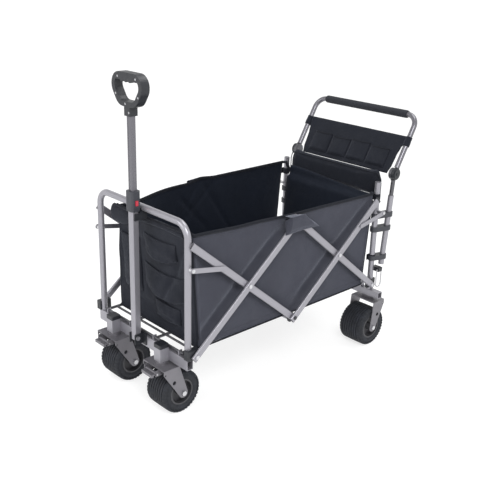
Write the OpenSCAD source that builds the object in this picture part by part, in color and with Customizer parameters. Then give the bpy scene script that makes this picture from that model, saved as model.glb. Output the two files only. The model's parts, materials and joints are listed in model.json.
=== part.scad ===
// Folding camp wagon: two scissor sides between a front and a rear frame, a fabric bag,
// swivelling front casters, fixed rear wheels, a telescopic pull handle and a push handle.
// +X is the front, +Y the wagon's left side, +Z up, and the floor is z = 0.

/* [Scissor sides] */
// Half of the distance between the front and rear lower pivots, wagon open
half_span = 440; // [400:5:528]
// Height of the lower pivots above the floor
pivot_z = 240; // [235:1:260]
// Height of the upper pivots above the lower ones, wagon open
scissor_rise = 360; // [320:5:432]
// Width of a scissor bar
bar_w = 24; // [20:1:28]
// Thickness of a scissor bar
bar_t = 10; // [8:0.5:12]
// Wall of a scissor bar
bar_wall = 1.5; // [1:0.1:2]
// Radius of the scissor pins
pin_r = 4; // [3:0.5:5]

/* [Frames] */
// Distance of the frame legs from the middle of the wagon
leg_y = 236; // [196:1:283]
// Radius of the frame tubes
tube_r = 11; // [9:0.5:13]
// Wall of the round tubes
tube_wall = 1.6; // [1.2:0.1:2.5]
// Height of the front frame
front_h = 682; // [660:1:760]
// Bend radius of the front frame at its middle line
front_bend_r = 48; // [30:1:70]
// Front leg's distance in front of the lower pivot
leg_ahead = 12; // [12:1:20]
// Height of the lower crossbars' undersides
crossbar_z = 190; // [188:1:192]
// Height of the front crossbar's section
crossbar_h = 38; // [30:1:40]
// Depth of the front crossbar's section
crossbar_d = 24; // [20:1:30]
// Height of the rear posts' tops
rear_post_z = 645; // [640:1:680]

/* [Bag] */
// Height of the bag's rim
bag_top_z = 625; // [560:5:635]
// Thickness of the bag's fabric wall
bag_t = 3; // [2:0.5:5]
// Inward slope of the bag's end walls, top to bottom
bag_taper = 32; // [10:1:45]

/* [Wheels] */
// Wheel diameter
wheel_d = 150; // [130:1:152]
// Tyre width
wheel_w = 102; // [85:1:122]
// Distance of the front wheels from the middle of the wagon
front_track = 136; // [132:1:150]
// Distance of the rear wheels from the middle of the wagon
rear_track = 233; // [230:1:245]
// Trail of the front casters
trail = 47; // [38:1:56]
// Radius of the wheel axles
axle_r = 5; // [4:0.5:6]
// Thickness of the fork plates
fork_t = 3; // [2.5:0.5:4]

/* [Pull handle] */
// Width of the outer square tube
outer_w = 25; // [24:0.5:28]
// Width of the inner square tube
inner_w = 21; // [19:0.5:21.5]
// Height of the top of the pull handle's grip
pull_top_z = 1094; // [1050:1:1313]
// Height of the collar's lower edge
collar_z = 663; // [655:1:700]
// Height of the collar
collar_h = 66; // [50:1:75]
// Width of the grip
grip_w = 155; // [130:1:186]
// Thickness of the grip
grip_t = 30; // [28:1:36]

/* [Push handle] */
// Distance of the push tubes from the middle of the wagon
push_y = 250; // [245:1:256]
// Backward lean of the push tubes in degrees
push_lean = 5.4; // [3:0.2:7]
// Height of the hinge discs
disc_z = 666; // [650:1:700]
// Radius of the hinge discs
disc_r = 22; // [18:1:26]
// Backward lean of the push handle in degrees
handle_lean = 30; // [20:1:40]
// Length from the hinge discs to the middle of the push bar
handle_len = 235; // [196:1:282]
// Bend radius of the push handle
handle_bend_r = 45; // [30:1:60]
// Radius of the push handle's tube
handle_r = 10; // [8:0.5:11]
// Radius of the foam grip
foam_r = 15; // [13:0.5:18]

/* [Hidden] */
$fn = 48;

SIDES = ["left", "right"];

// Clearances
fit = 0.05;      // radial clearance of a pin in its bore
seat = 0.3;      // gap under a soft or loose piece
gap = 1.5;       // gap between the layers of bars

// Colours
steel = [0.75, 0.74, 0.78];
dark = [0.16, 0.16, 0.18];
black = [0.10, 0.10, 0.11];
cloth = [0.20, 0.21, 0.25];
grey = [0.52, 0.51, 0.54];
rubber = [0.13, 0.14, 0.16];
red = [0.80, 0.15, 0.20];

// Side layers, from the legs outwards
leg_x = half_span + leg_ahead;
inner_y = leg_y + tube_r + 1;
outer_y = inner_y + bar_t + gap;
outside_y = outer_y + bar_t;
head_t = 2.2;
head_r = pin_r + 3;

// Pivot points of one side, as [x, z]
P_FRONT = [half_span, pivot_z];
P_REAR = [-half_span, pivot_z];
MID_LOW = [0, pivot_z];
MID_TOP = [0, pivot_z + scissor_rise];
TOP_FRONT = [half_span, pivot_z + scissor_rise];
TOP_REAR = [-half_span, pivot_z + scissor_rise];
// The rear outer bar ends short of the rear post
REAR_TIP = MID_LOW + 0.93 * (TOP_REAR - MID_LOW);
CROSS_FRONT = (P_FRONT + MID_TOP) / 2;
CROSS_REAR = (P_REAR + MID_TOP) / 2;
bar_end = bar_w * 0.6;

// Short links between the legs and the inner and outer bars
link_share = 0.49;
LINK_BAR = CROSS_FRONT + link_share * (TOP_FRONT - CROSS_FRONT);
LINK_LEG = [leg_x, LINK_BAR[1] + 24];
link_w = 16;
link_t = 3;
link_pin_r = 3;

// Front frame and pull handle
crossbar_top = crossbar_z + crossbar_h;
crossbar_front = leg_x + crossbar_d / 2;
post_w = 34;
post_wall = 2;
post_plate = 6;
post_top = crossbar_top + 10;
caster_x = crossbar_front + post_w / 2;
cap_h = 13;
collar_d = 34;
collar_w = 37;
pull_x = leg_x + tube_r + 2 + collar_d / 2;
pull_pivot_x = pull_x + 6;
pull_pivot_z = crossbar_z + 32;
pull_pin_r = 4;
pull_outer_low = pull_pivot_z - 8;
pull_wall = 1.6;
slide_gap = 0.3;
inner_low_z = collar_z - 60;
grip_h = 102;
neck_h = 28;
neck_w = 28;
grip_ring = 16;
grip_bar_h = 24;
grip_top_r = 40;
grip_low_r = 44;
grip_low_z = pull_top_z - grip_h;
inner_top_z = grip_low_z - 8;
ear_t = 3;
button_h = 16;
button_w = 9;
button_z = collar_z + 20;

// Floor ladders
rod_r = 5;
hinge_rod_r = 4;
ladder_x = leg_x + 3;
ladder_z = crossbar_top + 9;
ladder_len = ladder_x - 75;
ladder_y = [75, leg_y - 26];
lug_t = 4;

// Bag
bag_half_y = leg_y + 2;
bag_half_x = half_span - 1;
bag_floor_z = ladder_z + rod_r + seat;

// Cross tube under the middle of the bag
mid_tube_r = 7;
mid_tube_z = bag_floor_z - mid_tube_r - 6;
mid_tube_half = inner_y - seat - head_t - 0.2;

// Casters and forks
wheel_r = wheel_d / 2;
fork_gap = 2;
fork_y = wheel_w / 2 + fork_gap + fork_t;
plate_z = crossbar_z - 14;
plate_t = 4;
plate_l = 62;
race_r = 20;
king_r = 6;
rear_axle_ahead = 28;
rim_r = wheel_r * 0.6;
pedal_reach = 60;
pedal_pin_x = 40;
pedal_pin_z = plate_z - 12;
pedal_pin_r = 3;
pedal_w = 54;

// Rear frame and push handle
rear_x = -leg_x;
rear_bar_h = 25;
rear_bar_d = 24;
rear_top = crossbar_z + rear_bar_h;
upper_tube_r = 8;
upper_tube_z = rear_post_z - 85;
disc_x = rear_x - 76;
stem_r = 8;
sleeve_r = 11;
sleeve_low = 355;
sleeve_top = 83;
disc_t = 11;
disc_split = 0.3;
neck = 24;
stem_low = 250;
organizer_t = 16;
organizer_low = 4;
organizer_h = 146;
hole_pitch = 30;
roll_t = 35;
roll_z0 = rear_post_z - 71;
roll_z1 = rear_post_z + 39;
clamp_heights = [disc_z - 162, disc_z - 215, disc_z - 330];
clamp_h = 18;
bail_r = 2.5;
bail_half = 14;
bail_drop = 58;
bail_x = rear_x - 16;
bail_y = leg_y + 28;
bail_z = disc_z - 366;

// Whole length, to centre the wagon over its origin
x_front = caster_x + pedal_reach;
x_rear = disc_x - handle_len * sin(handle_lean) - foam_r;
x_mid = (x_front + x_rear) / 2;

// ---------- shared shapes ----------

// A cylinder along Y between two y values
module y_rod(r, y0, y1) {
    translate([0, y1, 0])
        rotate([90, 0, 0])
            cylinder(r = r, h = y1 - y0);
}

// A cylinder along X between two x values
module x_rod(r, x0, x1) {
    translate([x0, 0, 0])
        rotate([0, 90, 0])
            cylinder(r = r, h = x1 - x0);
}

// Both sides of the wagon
module both_sides() {
    children();
    mirror([0, 1, 0])
        children();
}

// The left part, or its mirror image
module on_side(side) {
    if (side == "left")
        children();
    else
        mirror([0, 1, 0])
            children();
}

// Moves a part to a pivot point [x, z]
module at(p) {
    translate([p[0], 0, p[1]])
        children();
}

// Rounded square outline
module soft_square(w, d, r) {
    hull()
        for (sx = [-1, 1], sy = [-1, 1])
            translate([sx * (w / 2 - r), sy * (d / 2 - r)])
                circle(r = r, $fn = 16);
}

// Straight round tube along Z
module round_tube(r, wall, h) {
    difference() {
        cylinder(r = r, h = h);
        translate([0, 0, -1])
            cylinder(r = r - wall, h = h + 2);
    }
}

// Quarter bend of a round tube about the origin, in the YZ plane
module tube_bend(r, wall, bend) {
    rotate([90, 0, 90])
        rotate_extrude(angle = 90)
            translate([bend, 0])
                difference() {
                    circle(r = r);
                    circle(r = r - wall);
                }
}

// Upside-down U of round tube, its legs along Z from z = 0
module u_tube(half_w, h, bend, r, wall) {
    both_sides() {
        translate([0, half_w, 0])
            round_tube(r, wall, h - bend);
        translate([0, half_w - bend, h - bend])
            tube_bend(r, wall, bend);
    }
    translate([0, half_w - bend, h])
        rotate([90, 0, 0])
            round_tube(r, wall, 2 * (half_w - bend));
}

// Flat oval bar from p to q, both [x, z], with bores at the listed points
module flat_bar(p, q, y0, bores, bore_r) {
    run = q - p;
    span = norm(run);
    difference() {
        translate([p[0], y0 + bar_t / 2, p[1]])
            rotate([0, -atan2(run[1], run[0]), 0])
                translate([-bar_end, 0, 0])
                    rotate([90, 0, 90])
                        linear_extrude(span + 2 * bar_end)
                            difference() {
                                soft_square(bar_t, bar_w, bar_t * 0.4);
                                soft_square(bar_t - 2 * bar_wall, bar_w - 2 * bar_wall,
                                            bar_t * 0.25);
                            }
        for (b = bores)
            at(b)
                y_rod(bore_r, y0 - 1, y0 + bar_t + 1);
    }
}

// Rivet along Y through the layers from y0 to y1, with a head at each end
module rivet(r, hr, y0, y1) {
    y_rod(r, y0 - seat, y1 + seat);
    y_rod(hr, y0 - seat - head_t, y0 - seat);
    y_rod(hr, y1 + seat, y1 + seat + head_t);
}

// Flat link from p to q, both [x, z]
module flat_link(p, q, w, y0, t, bore_r) {
    difference() {
        hull()
            for (e = [p, q])
                at(e)
                    y_rod(w / 2, y0, y0 + t);
        at(q)
            y_rod(bore_r, y0 - 1, y0 + t + 1);
    }
}

// ---------- front frame ----------

module front_u_frame() {
    color(steel)
        difference() {
            translate([leg_x, 0, crossbar_top])
                u_tube(leg_y, front_h - tube_r - crossbar_top, front_bend_r, tube_r,
                       tube_wall);
            both_sides()
                at(LINK_LEG)
                    y_rod(link_pin_r + fit, 0, outside_y);
        }
}

// One hinge lug for the floor ladder's rod, and its foot on the crossbar
module ladder_lug(x, base_z) {
    difference() {
        translate([x - 7, 0, base_z])
            cube([14, lug_t, ladder_z + 7 - base_z]);
        translate([x, 0, ladder_z])
            y_rod(hinge_rod_r + fit, -1, lug_t + 1);
    }
}

// Square caster post with a plate that holds the king bolt
module caster_post() {
    difference() {
        translate([-post_w / 2, -post_w / 2, crossbar_z])
            cube([post_w, post_w, post_top - crossbar_z]);
        translate([-post_w / 2 + post_wall, -post_w / 2 + post_wall,
                   crossbar_z + post_plate])
            cube([post_w - 2 * post_wall, post_w - 2 * post_wall, post_top]);
        translate([0, 0, crossbar_z - 1])
            cylinder(r = king_r + fit, h = post_plate + 2);
    }
}

module front_crossbar() {
    length = 2 * (leg_y + tube_r);
    color(steel) {
        difference() {
            translate([leg_x - crossbar_d / 2, -length / 2, crossbar_z])
                cube([crossbar_d, length, crossbar_h]);
            translate([leg_x - crossbar_d / 2 + post_wall, -length / 2 - 1,
                       crossbar_z + post_wall])
                cube([crossbar_d - 2 * post_wall, length + 2,
                      crossbar_h - 2 * post_wall]);
        }
        both_sides() {
            translate([caster_x, front_track, 0])
                caster_post();
            for (y = ladder_y)
                translate([0, y - lug_t - rod_r - 2, 0])
                    ladder_lug(ladder_x, crossbar_top);
        }
    }
}

module caster_post_caps() {
    color(black)
        both_sides()
            translate([caster_x, front_track, post_top]) {
                linear_extrude(cap_h)
                    soft_square(post_w + 2, post_w + 2, 4);
                translate([0, 0, -8])
                    linear_extrude(8)
                        soft_square(post_w - 2 * post_wall - 0.4,
                                    post_w - 2 * post_wall - 0.4, 2);
            }
}

// Plastic block on a leg that carries a lower scissor pin; reach is its outer face
module pivot_block(x_leg, x_pin, reach) {
    lean = sign(x_leg);
    x0 = min(x_leg + lean * (tube_r + 5), x_pin - lean * 16);
    x1 = max(x_leg + lean * (tube_r + 5), x_pin - lean * 16);
    difference() {
        translate([x0, leg_y, crossbar_top])
            cube([x1 - x0, reach - leg_y, pivot_z + 20 - crossbar_top]);
        translate([x_leg, leg_y, pivot_z - 30])
            cylinder(r = tube_r + fit, h = 70);
        translate([x_pin, 0, pivot_z])
            y_rod(pin_r + fit, leg_y - 1, reach + 1);
    }
}

module front_pivot_brackets() {
    color(black)
        both_sides()
            pivot_block(leg_x, half_span, outer_y - gap);
}

module front_frame_pins() {
    pin_in = leg_y + tube_r;
    color(grey) {
        both_sides() {
            at(P_FRONT) {
                y_rod(pin_r, pin_in, outside_y + seat);
                y_rod(head_r, outside_y + seat, outside_y + seat + head_t);
            }
            at(LINK_LEG) {
                y_rod(link_pin_r, leg_y - tube_r - 1, outer_y + link_t + seat);
                y_rod(link_pin_r + 3, pin_in + 0.2, outer_y - seat);
                y_rod(link_pin_r + 3, outer_y + link_t + seat,
                      outer_y + link_t + seat + head_t);
            }
        }
        translate([pull_pivot_x, 0, pull_pivot_z]) {
            y_rod(pull_pin_r, -outer_w / 2 - ear_t - 1, outer_w / 2 + ear_t + 1);
            both_sides()
                y_rod(pull_pin_r + 3.5, outer_w / 2 + ear_t + 1,
                      outer_w / 2 + ear_t + 5);
        }
    }
}

module handle_bracket() {
    ear_x = pull_pivot_x + 11 - crossbar_front;
    color(black)
        difference() {
            union() {
                translate([crossbar_front, -34, crossbar_z + 6])
                    cube([ear_t, 68, 42]);
                both_sides()
                    translate([crossbar_front, outer_w / 2 + 1, crossbar_z + 10])
                        cube([ear_x, ear_t, 36]);
            }
            translate([pull_pivot_x, 0, pull_pivot_z])
                y_rod(pull_pin_r + fit, -40, 40);
        }
}

module handle_clip() {
    low = collar_z - 30;
    bar_z = front_h - tube_r;
    arm_y = outer_w / 2 + 0.5;
    color(black)
        difference() {
            union() {
                translate([leg_x - tube_r, -17, low])
                    cube([pull_x - outer_w / 2 - 1 - leg_x + tube_r, 34, bar_z - low]);
                both_sides()
                    translate([leg_x, arm_y, low])
                        cube([pull_x + 7 - leg_x, 4.5, 22]);
            }
            translate([leg_x, 0, bar_z])
                y_rod(tube_r + fit, -40, 40);
            translate([pull_x - collar_d / 2 - 1, -40, collar_z - 3])
                cube([40, 80, 60]);
        }
}

// ---------- bag ----------

// Side outline of the bag, moved in by t
module bag_outline(t, low, high) {
    polygon([
        [-bag_half_x + t, high], [bag_half_x - t, high],
        [bag_half_x - bag_taper - t, low], [-bag_half_x + bag_taper + t, low]
    ]);
}

module cargo_bag() {
    color(cloth)
        difference() {
            translate([0, bag_half_y, 0])
                rotate([90, 0, 0])
                    linear_extrude(2 * bag_half_y)
                        bag_outline(0, bag_floor_z, bag_top_z);
            translate([0, bag_half_y - bag_t, 0])
                rotate([90, 0, 0])
                    linear_extrude(2 * (bag_half_y - bag_t))
                        bag_outline(bag_t, bag_floor_z + bag_t, bag_top_z + 1);
        }
}

// ---------- pull handle ----------

module square_tube(w, wall, z0, z1) {
    translate([0, 0, z0])
        linear_extrude(z1 - z0)
            difference() {
                soft_square(w, w, 4);
                soft_square(w - 2 * wall, w - 2 * wall, 2.5);
            }
}

module pull_outer_tube() {
    color(steel)
        difference() {
            translate([pull_x, 0, 0])
                square_tube(outer_w, pull_wall, pull_outer_low, collar_z + 35);
            translate([pull_pivot_x, 0, pull_pivot_z])
                y_rod(pull_pin_r + fit, -40, 40);
        }
}

module pull_collar() {
    color(dark)
        difference() {
            translate([pull_x, 0, collar_z])
                linear_extrude(collar_h)
                    soft_square(collar_d, collar_w, 8);
            translate([pull_x, 0, collar_z - 1])
                linear_extrude(36 + seat)
                    soft_square(outer_w + 0.2, outer_w + 0.2, 4);
            translate([pull_x, 0, collar_z + 30])
                linear_extrude(collar_h)
                    soft_square(inner_w + 2 * slide_gap, inner_w + 2 * slide_gap, 4);
            translate([pull_x - button_w / 2 - 0.3, outer_w / 2 + 1,
                       button_z - 0.3])
                cube([button_w + 0.6, 20, button_h + 0.6]);
        }
}

module release_button() {
    color(red)
        translate([pull_x - button_w / 2, outer_w / 2 + 3.6, button_z])
            cube([button_w, collar_w / 2 - outer_w / 2, button_h]);
}

module pull_inner_tube() {
    color(steel)
        difference() {
            translate([pull_x, 0, 0])
                square_tube(inner_w, pull_wall, inner_low_z, inner_top_z);
            // flutes down the front and the back
            for (side = [-1, 1])
                translate([pull_x + side * inner_w / 2 - 0.6, -2.5, inner_low_z - 1])
                    cube([1.2, 5, inner_top_z - inner_low_z - 20]);
        }
}

// Outline of the D grip in its own plane, moved in by t
module grip_outline(t) {
    hull()
        for (side = [-1, 1]) {
            translate([side * (grip_w / 2 - grip_top_r), grip_h - grip_top_r])
                circle(r = grip_top_r - t, $fn = 48);
            translate([side * (grip_w / 2 - grip_top_r) * 0.55, grip_low_r])
                circle(r = grip_low_r - t, $fn = 48);
        }
}

module grip_profile() {
    difference() {
        union() {
            grip_outline(0);
            translate([-neck_w / 2, -neck_h])
                square([neck_w, neck_h + 6]);
        }
        difference() {
            grip_outline(grip_ring);
            translate([-grip_w / 2, grip_h - grip_bar_h])
                square([grip_w, grip_bar_h]);
            // finger ridges under the top bar
            for (k = [-1, 0, 1])
                translate([k * 21 - 4, grip_h - grip_bar_h + 2])
                    circle(r = 7, $fn = 24);
        }
    }
}

// One half of the grip, from its split plane to its face
module grip_half(front) {
    depth = grip_t / 2 - 0.1;
    translate([pull_x, 0, grip_low_z])
        rotate([0, 0, front ? 0 : 180])
            difference() {
                translate([0.1, 0, 0])
                    rotate([90, 0, 90])
                        linear_extrude(depth)
                            grip_profile();
                translate([0, 0, -neck_h - 1])
                    linear_extrude(neck_h - 7 + 0.6)
                        soft_square(inner_w + 0.2, inner_w + 0.2, 4);
                if (front)
                    for (p = grip_screw_points())
                        translate([0, p[0], p[1]])
                            x_rod(3.8, depth - 2.5, depth + 2);
            }
}

function grip_screw_points() = [
    [-46, 87], [46, 87], [-58, 34], [58, 34], [-9, 8], [9, -17]
];

module grip_front_shell() {
    color(black)
        grip_half(true);
}

module grip_rear_shell() {
    color(black)
        grip_half(false);
}

module grip_screws() {
    depth = grip_t / 2 - 0.1;
    color(steel)
        translate([pull_x, 0, grip_low_z])
            for (p = grip_screw_points())
                translate([0, p[0], p[1]])
                    difference() {
                        x_rod(3.3, depth - 2.5, depth - 0.3);
                        translate([depth - 1.2, -0.5, -2.2])
                            cube([2, 1, 4.4]);
                        translate([depth - 1.2, -2.2, -0.5])
                            cube([2, 4.4, 1]);
                    }
}

// ---------- wheels and forks ----------

// Fork about its own wheel: ahead is where the plate stands in front of the axle
module fork_body(ahead) {
    top = plate_z + plate_t;
    difference() {
        union() {
            translate([ahead - plate_l / 2, -fork_y, plate_z])
                cube([plate_l, 2 * fork_y, plate_t]);
            both_sides()
                translate([0, fork_y, 0])
                    rotate([90, 0, 0])
                        linear_extrude(fork_t)
                            hull() {
                                translate([0, wheel_r])
                                    circle(r = 17, $fn = 32);
                                translate([ahead - plate_l / 2, top - 16])
                                    square([plate_l, 16]);
                            }
        }
        translate([0, 0, wheel_r])
            y_rod(axle_r + fit, -fork_y - 1, fork_y + 1);
        both_sides()
            translate([ahead * 0.8, 0, wheel_r + 50])
                y_rod(7, fork_y - fork_t - 1, fork_y + 1);
        translate([ahead + pedal_pin_x - 15, 0, pedal_pin_z])
            y_rod(pedal_pin_r + fit, -fork_y - 1, fork_y + 1);
    }
}

module caster_fork(side) {
    axle_x = caster_x - trail;
    ear_y = pedal_w / 2 + 1;
    color(grey)
        on_side(side)
            translate([axle_x, front_track, 0]) {
                fork_body(trail);
                // bearing housing and king bolt
                translate([trail, 0, plate_z + plate_t])
                    cylinder(r = race_r + 4, h = 4);
                translate([trail, 0, plate_z + plate_t])
                    cylinder(r = race_r, h = crossbar_z - plate_z - plate_t - seat);
                translate([trail, 0, plate_z + plate_t])
                    cylinder(r = king_r, h = crossbar_z + 20 - plate_z - plate_t);
                translate([trail, 0, crossbar_z + post_plate + seat])
                    cylinder(r = king_r + 4, h = 7, $fn = 6);
                // ears that carry the brake pedal
                both_sides()
                    difference() {
                        translate([trail + 18, ear_y, pedal_pin_z - 7])
                            cube([pedal_pin_x - 18 + 6, 3, plate_z + 1 - pedal_pin_z + 7]);
                        translate([trail + pedal_pin_x, 0, pedal_pin_z])
                            y_rod(pedal_pin_r + fit, ear_y - 1, ear_y + 4);
                    }
            }
}

// Axle bolt with a head and a nut outside the fork
module axle_bolt() {
    y_rod(axle_r, -fork_y - 1, fork_y + 1);
    translate([0, fork_y + 6, 0])
        rotate([90, 0, 0])
            cylinder(r = axle_r + 4, h = 5.8, $fn = 6);
    translate([0, -fork_y - 0.2, 0])
        rotate([90, 0, 0])
            cylinder(r = axle_r + 4, h = 5.8, $fn = 6);
}

module caster_axle_set(side) {
    color(steel)
        on_side(side)
            translate([caster_x - trail, front_track, 0]) {
                translate([0, 0, wheel_r])
                    axle_bolt();
                translate([trail + pedal_pin_x, 0, pedal_pin_z])
                    y_rod(pedal_pin_r, -pedal_w / 2 - 5, pedal_w / 2 + 5);
            }
}

module brake_pedal(side) {
    front = pedal_reach - pedal_pin_x;
    color(grey)
        on_side(side)
            translate([caster_x + pedal_pin_x, front_track, pedal_pin_z])
                difference() {
                    union() {
                        y_rod(6, -pedal_w / 2, pedal_w / 2);
                        translate([0, -pedal_w / 2, -3])
                            cube([front, pedal_w, 5]);
                        translate([front - 9, -pedal_w / 2, -8])
                            cube([9, pedal_w, 7]);
                        for (k = [0:2])
                            translate([4 + k * 5, -pedal_w / 2 + 4, 2])
                                cube([2.4, pedal_w - 8, 1.4]);
                    }
                    y_rod(pedal_pin_r + fit, -pedal_w / 2 - 1, pedal_w / 2 + 1);
                }
}

// Half section of a wide tyre, with rounded shoulders and tread grooves
module tyre_section() {
    shoulder = 10;
    half = wheel_w / 2;
    groove = 3.5;
    difference() {
        hull() {
            translate([wheel_r - shoulder, half - shoulder])
                circle(r = shoulder, $fn = 32);
            translate([wheel_r - shoulder, -half + shoulder])
                circle(r = shoulder, $fn = 32);
            translate([rim_r + 0.1, -half + 6])
                square([4, 2 * half - 12]);
        }
        for (k = [-2:2])
            translate([wheel_r - groove, k * wheel_w / 7 - 1.5])
                square([groove + 1, 3]);
    }
}

module tyre() {
    translate([0, 0, wheel_r])
        rotate([90, 0, 0])
            rotate_extrude($fn = 72)
                tyre_section();
}

// Dished wheel body: a band, a web and a hub with the axle's bore
module rim() {
    half = wheel_w / 2;
    translate([0, 0, wheel_r])
        rotate([90, 0, 0])
            difference() {
                union() {
                    difference() {
                        translate([0, 0, -half + 4])
                            cylinder(r = rim_r, h = 2 * half - 8);
                        translate([0, 0, half - 24])
                            cylinder(r = rim_r - 5, h = 40);
                        translate([0, 0, -half - 16])
                            cylinder(r = rim_r - 5, h = 40);
                    }
                    translate([0, 0, -half])
                        cylinder(r = 14, h = 2 * half);
                }
                translate([0, 0, -half - 1])
                    cylinder(r = axle_r + fit, h = 2 * half + 2);
            }
}

module caster_wheel_place(side) {
    on_side(side)
        translate([caster_x - trail, front_track, 0])
            children();
}

module rear_wheel_place(side) {
    on_side(side)
        translate([rear_x + rear_axle_ahead, rear_track, 0])
            children();
}

module caster_tyre(side) {
    color(rubber)
        caster_wheel_place(side)
            tyre();
}

module caster_rim(side) {
    color(dark)
        caster_wheel_place(side)
            rim();
}

module rear_tyre(side) {
    color(rubber)
        rear_wheel_place(side)
            tyre();
}

module rear_rim(side) {
    color(dark)
        rear_wheel_place(side)
            rim();
}

// ---------- scissor bars ----------

module front_outer_bar(side) {
    color(steel)
        on_side(side)
            flat_bar(P_FRONT, MID_TOP, outer_y, [P_FRONT, CROSS_FRONT, MID_TOP],
                     pin_r + fit);
}

module front_inner_bar(side) {
    color(steel)
        on_side(side)
            flat_bar(MID_LOW, TOP_FRONT, inner_y, [MID_LOW, CROSS_FRONT], pin_r + fit);
}

module rear_outer_bar(side) {
    color(steel)
        on_side(side)
            flat_bar(MID_LOW, REAR_TIP, outer_y, [MID_LOW, CROSS_REAR], pin_r + fit);
}

// Its upper bore is wider, because the bars' loop closes there
module rear_inner_bar(side) {
    color(steel)
        on_side(side)
            difference() {
                flat_bar(MID_TOP, P_REAR, inner_y, [P_REAR, CROSS_REAR], pin_r + fit);
                at(MID_TOP)
                    y_rod(pin_r + 0.5, inner_y - 1, outer_y - gap / 2);
            }
}

module front_crossing_rivets() {
    color(grey)
        both_sides()
            at(CROSS_FRONT)
                rivet(pin_r, head_r, inner_y, outside_y);
}

module rear_crossing_rivets() {
    color(grey)
        both_sides()
            at(CROSS_REAR)
                rivet(pin_r, head_r, inner_y, outside_y);
}

module top_rivets() {
    color(grey)
        both_sides()
            at(MID_TOP)
                rivet(pin_r, head_r, inner_y, outside_y);
}

// Plate with the lower middle pin, which also holds the cross tube under the bag
module mid_brackets() {
    color(black)
        both_sides() {
            at(MID_LOW)
                rivet(pin_r, head_r, inner_y, outside_y);
            difference() {
                hull() {
                    at(MID_LOW)
                        y_rod(15, inner_y - seat - head_t - 3, inner_y - seat);
                    translate([0, 0, mid_tube_z])
                        y_rod(12, inner_y - seat - head_t - 3, inner_y - seat);
                }
                translate([0, 0, mid_tube_z])
                    y_rod(mid_tube_r + fit, inner_y - 20, inner_y + 20);
            }
        }
}

module mid_cross_tube() {
    color(steel)
        translate([0, 0, mid_tube_z])
            difference() {
                y_rod(mid_tube_r, -mid_tube_half, mid_tube_half);
                y_rod(mid_tube_r - 1.5, -inner_y, inner_y);
            }
}

module rear_bar_caps() {
    run = REAR_TIP - MID_LOW;
    color(black)
        both_sides()
            translate([REAR_TIP[0], outer_y + bar_t / 2, REAR_TIP[1]])
                rotate([0, -atan2(run[1], run[0]), 0])
                    translate([bar_end + 0.1, 0, 0])
                        rotate([90, 0, 90])
                            linear_extrude(7)
                                soft_square(bar_t + 1, bar_w + 2, bar_t * 0.4);
}

module front_links() {
    color(steel)
        both_sides()
            flat_link(LINK_BAR, LINK_LEG, link_w, outer_y, link_t, link_pin_r + fit);
}

module rear_links() {
    color(steel)
        mirror([1, 0, 0])
            both_sides()
                flat_link(LINK_BAR, LINK_LEG, link_w, outside_y + gap, link_t,
                          link_pin_r + fit);
}

// ---------- floor ladders ----------

module floor_ladder() {
    cross = [ladder_x - 38, ladder_x - ladder_len + 20];
    color(steel) {
        translate([ladder_x, 0, ladder_z])
            y_rod(hinge_rod_r, -ladder_y[1] - 8, ladder_y[1] + 8);
        both_sides()
            for (y = ladder_y)
                translate([0, y, ladder_z])
                    x_rod(rod_r, ladder_x - ladder_len, ladder_x);
        for (x = cross)
            translate([x, 0, ladder_z])
                y_rod(hinge_rod_r, -ladder_y[1], ladder_y[1]);
    }
}

module front_floor_ladder() {
    floor_ladder();
}

module rear_floor_ladder() {
    mirror([1, 0, 0])
        floor_ladder();
}

// ---------- rear frame ----------

module rear_frame_tubes() {
    length = 2 * (rear_track + fork_y);
    color(steel) {
        difference() {
            both_sides()
                translate([rear_x, leg_y, rear_top])
                    round_tube(tube_r, tube_wall, rear_post_z - rear_top);
            both_sides() {
                translate([-LINK_LEG[0], 0, LINK_LEG[1]])
                    y_rod(link_pin_r + fit, 0, outside_y);
                translate([rear_x, 0, upper_tube_z])
                    y_rod(upper_tube_r - 0.5, leg_y - tube_r - 1, leg_y);
            }
        }
        translate([rear_x, 0, upper_tube_z])
            difference() {
                y_rod(upper_tube_r, -leg_y + tube_r - 1, leg_y - tube_r + 1);
                y_rod(upper_tube_r - 1.5, -leg_y, leg_y);
            }
        difference() {
            translate([rear_x - rear_bar_d / 2, -length / 2, crossbar_z])
                cube([rear_bar_d, length, rear_bar_h]);
            translate([rear_x - rear_bar_d / 2 + post_wall, -length / 2 - 1,
                       crossbar_z + post_wall])
                cube([rear_bar_d - 2 * post_wall, length + 2,
                      rear_bar_h - 2 * post_wall]);
        }
        both_sides()
            for (y = ladder_y)
                translate([0, y - lug_t - rod_r - 2, 0])
                    ladder_lug(-ladder_x, rear_top);
    }
}

module rear_forks() {
    color(grey)
        both_sides()
            translate([rear_x + rear_axle_ahead, rear_track, 0]) {
                mirror([1, 0, 0])
                    fork_body(rear_axle_ahead);
                translate([-rear_axle_ahead - rear_bar_d / 2, -20, plate_z + plate_t])
                    cube([rear_bar_d, 40, crossbar_z - plate_z - plate_t]);
            }
}

module rear_frame_pins() {
    pin_in = leg_y + tube_r;
    link_out = outside_y + gap + link_t;
    color(grey)
        both_sides() {
            translate([rear_x + rear_axle_ahead, rear_track, wheel_r])
                axle_bolt();
            at(P_REAR) {
                y_rod(pin_r, pin_in - 3, outer_y - gap + seat);
                y_rod(head_r, outer_y - gap + seat, outer_y - gap + seat + head_t);
            }
            translate([-LINK_LEG[0], 0, LINK_LEG[1]]) {
                y_rod(link_pin_r, leg_y - tube_r - 1, link_out + seat);
                y_rod(link_pin_r + 3, pin_in + 0.2, outside_y + gap - seat);
                y_rod(link_pin_r + 3, link_out + seat, link_out + seat + head_t);
            }
        }
}

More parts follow.
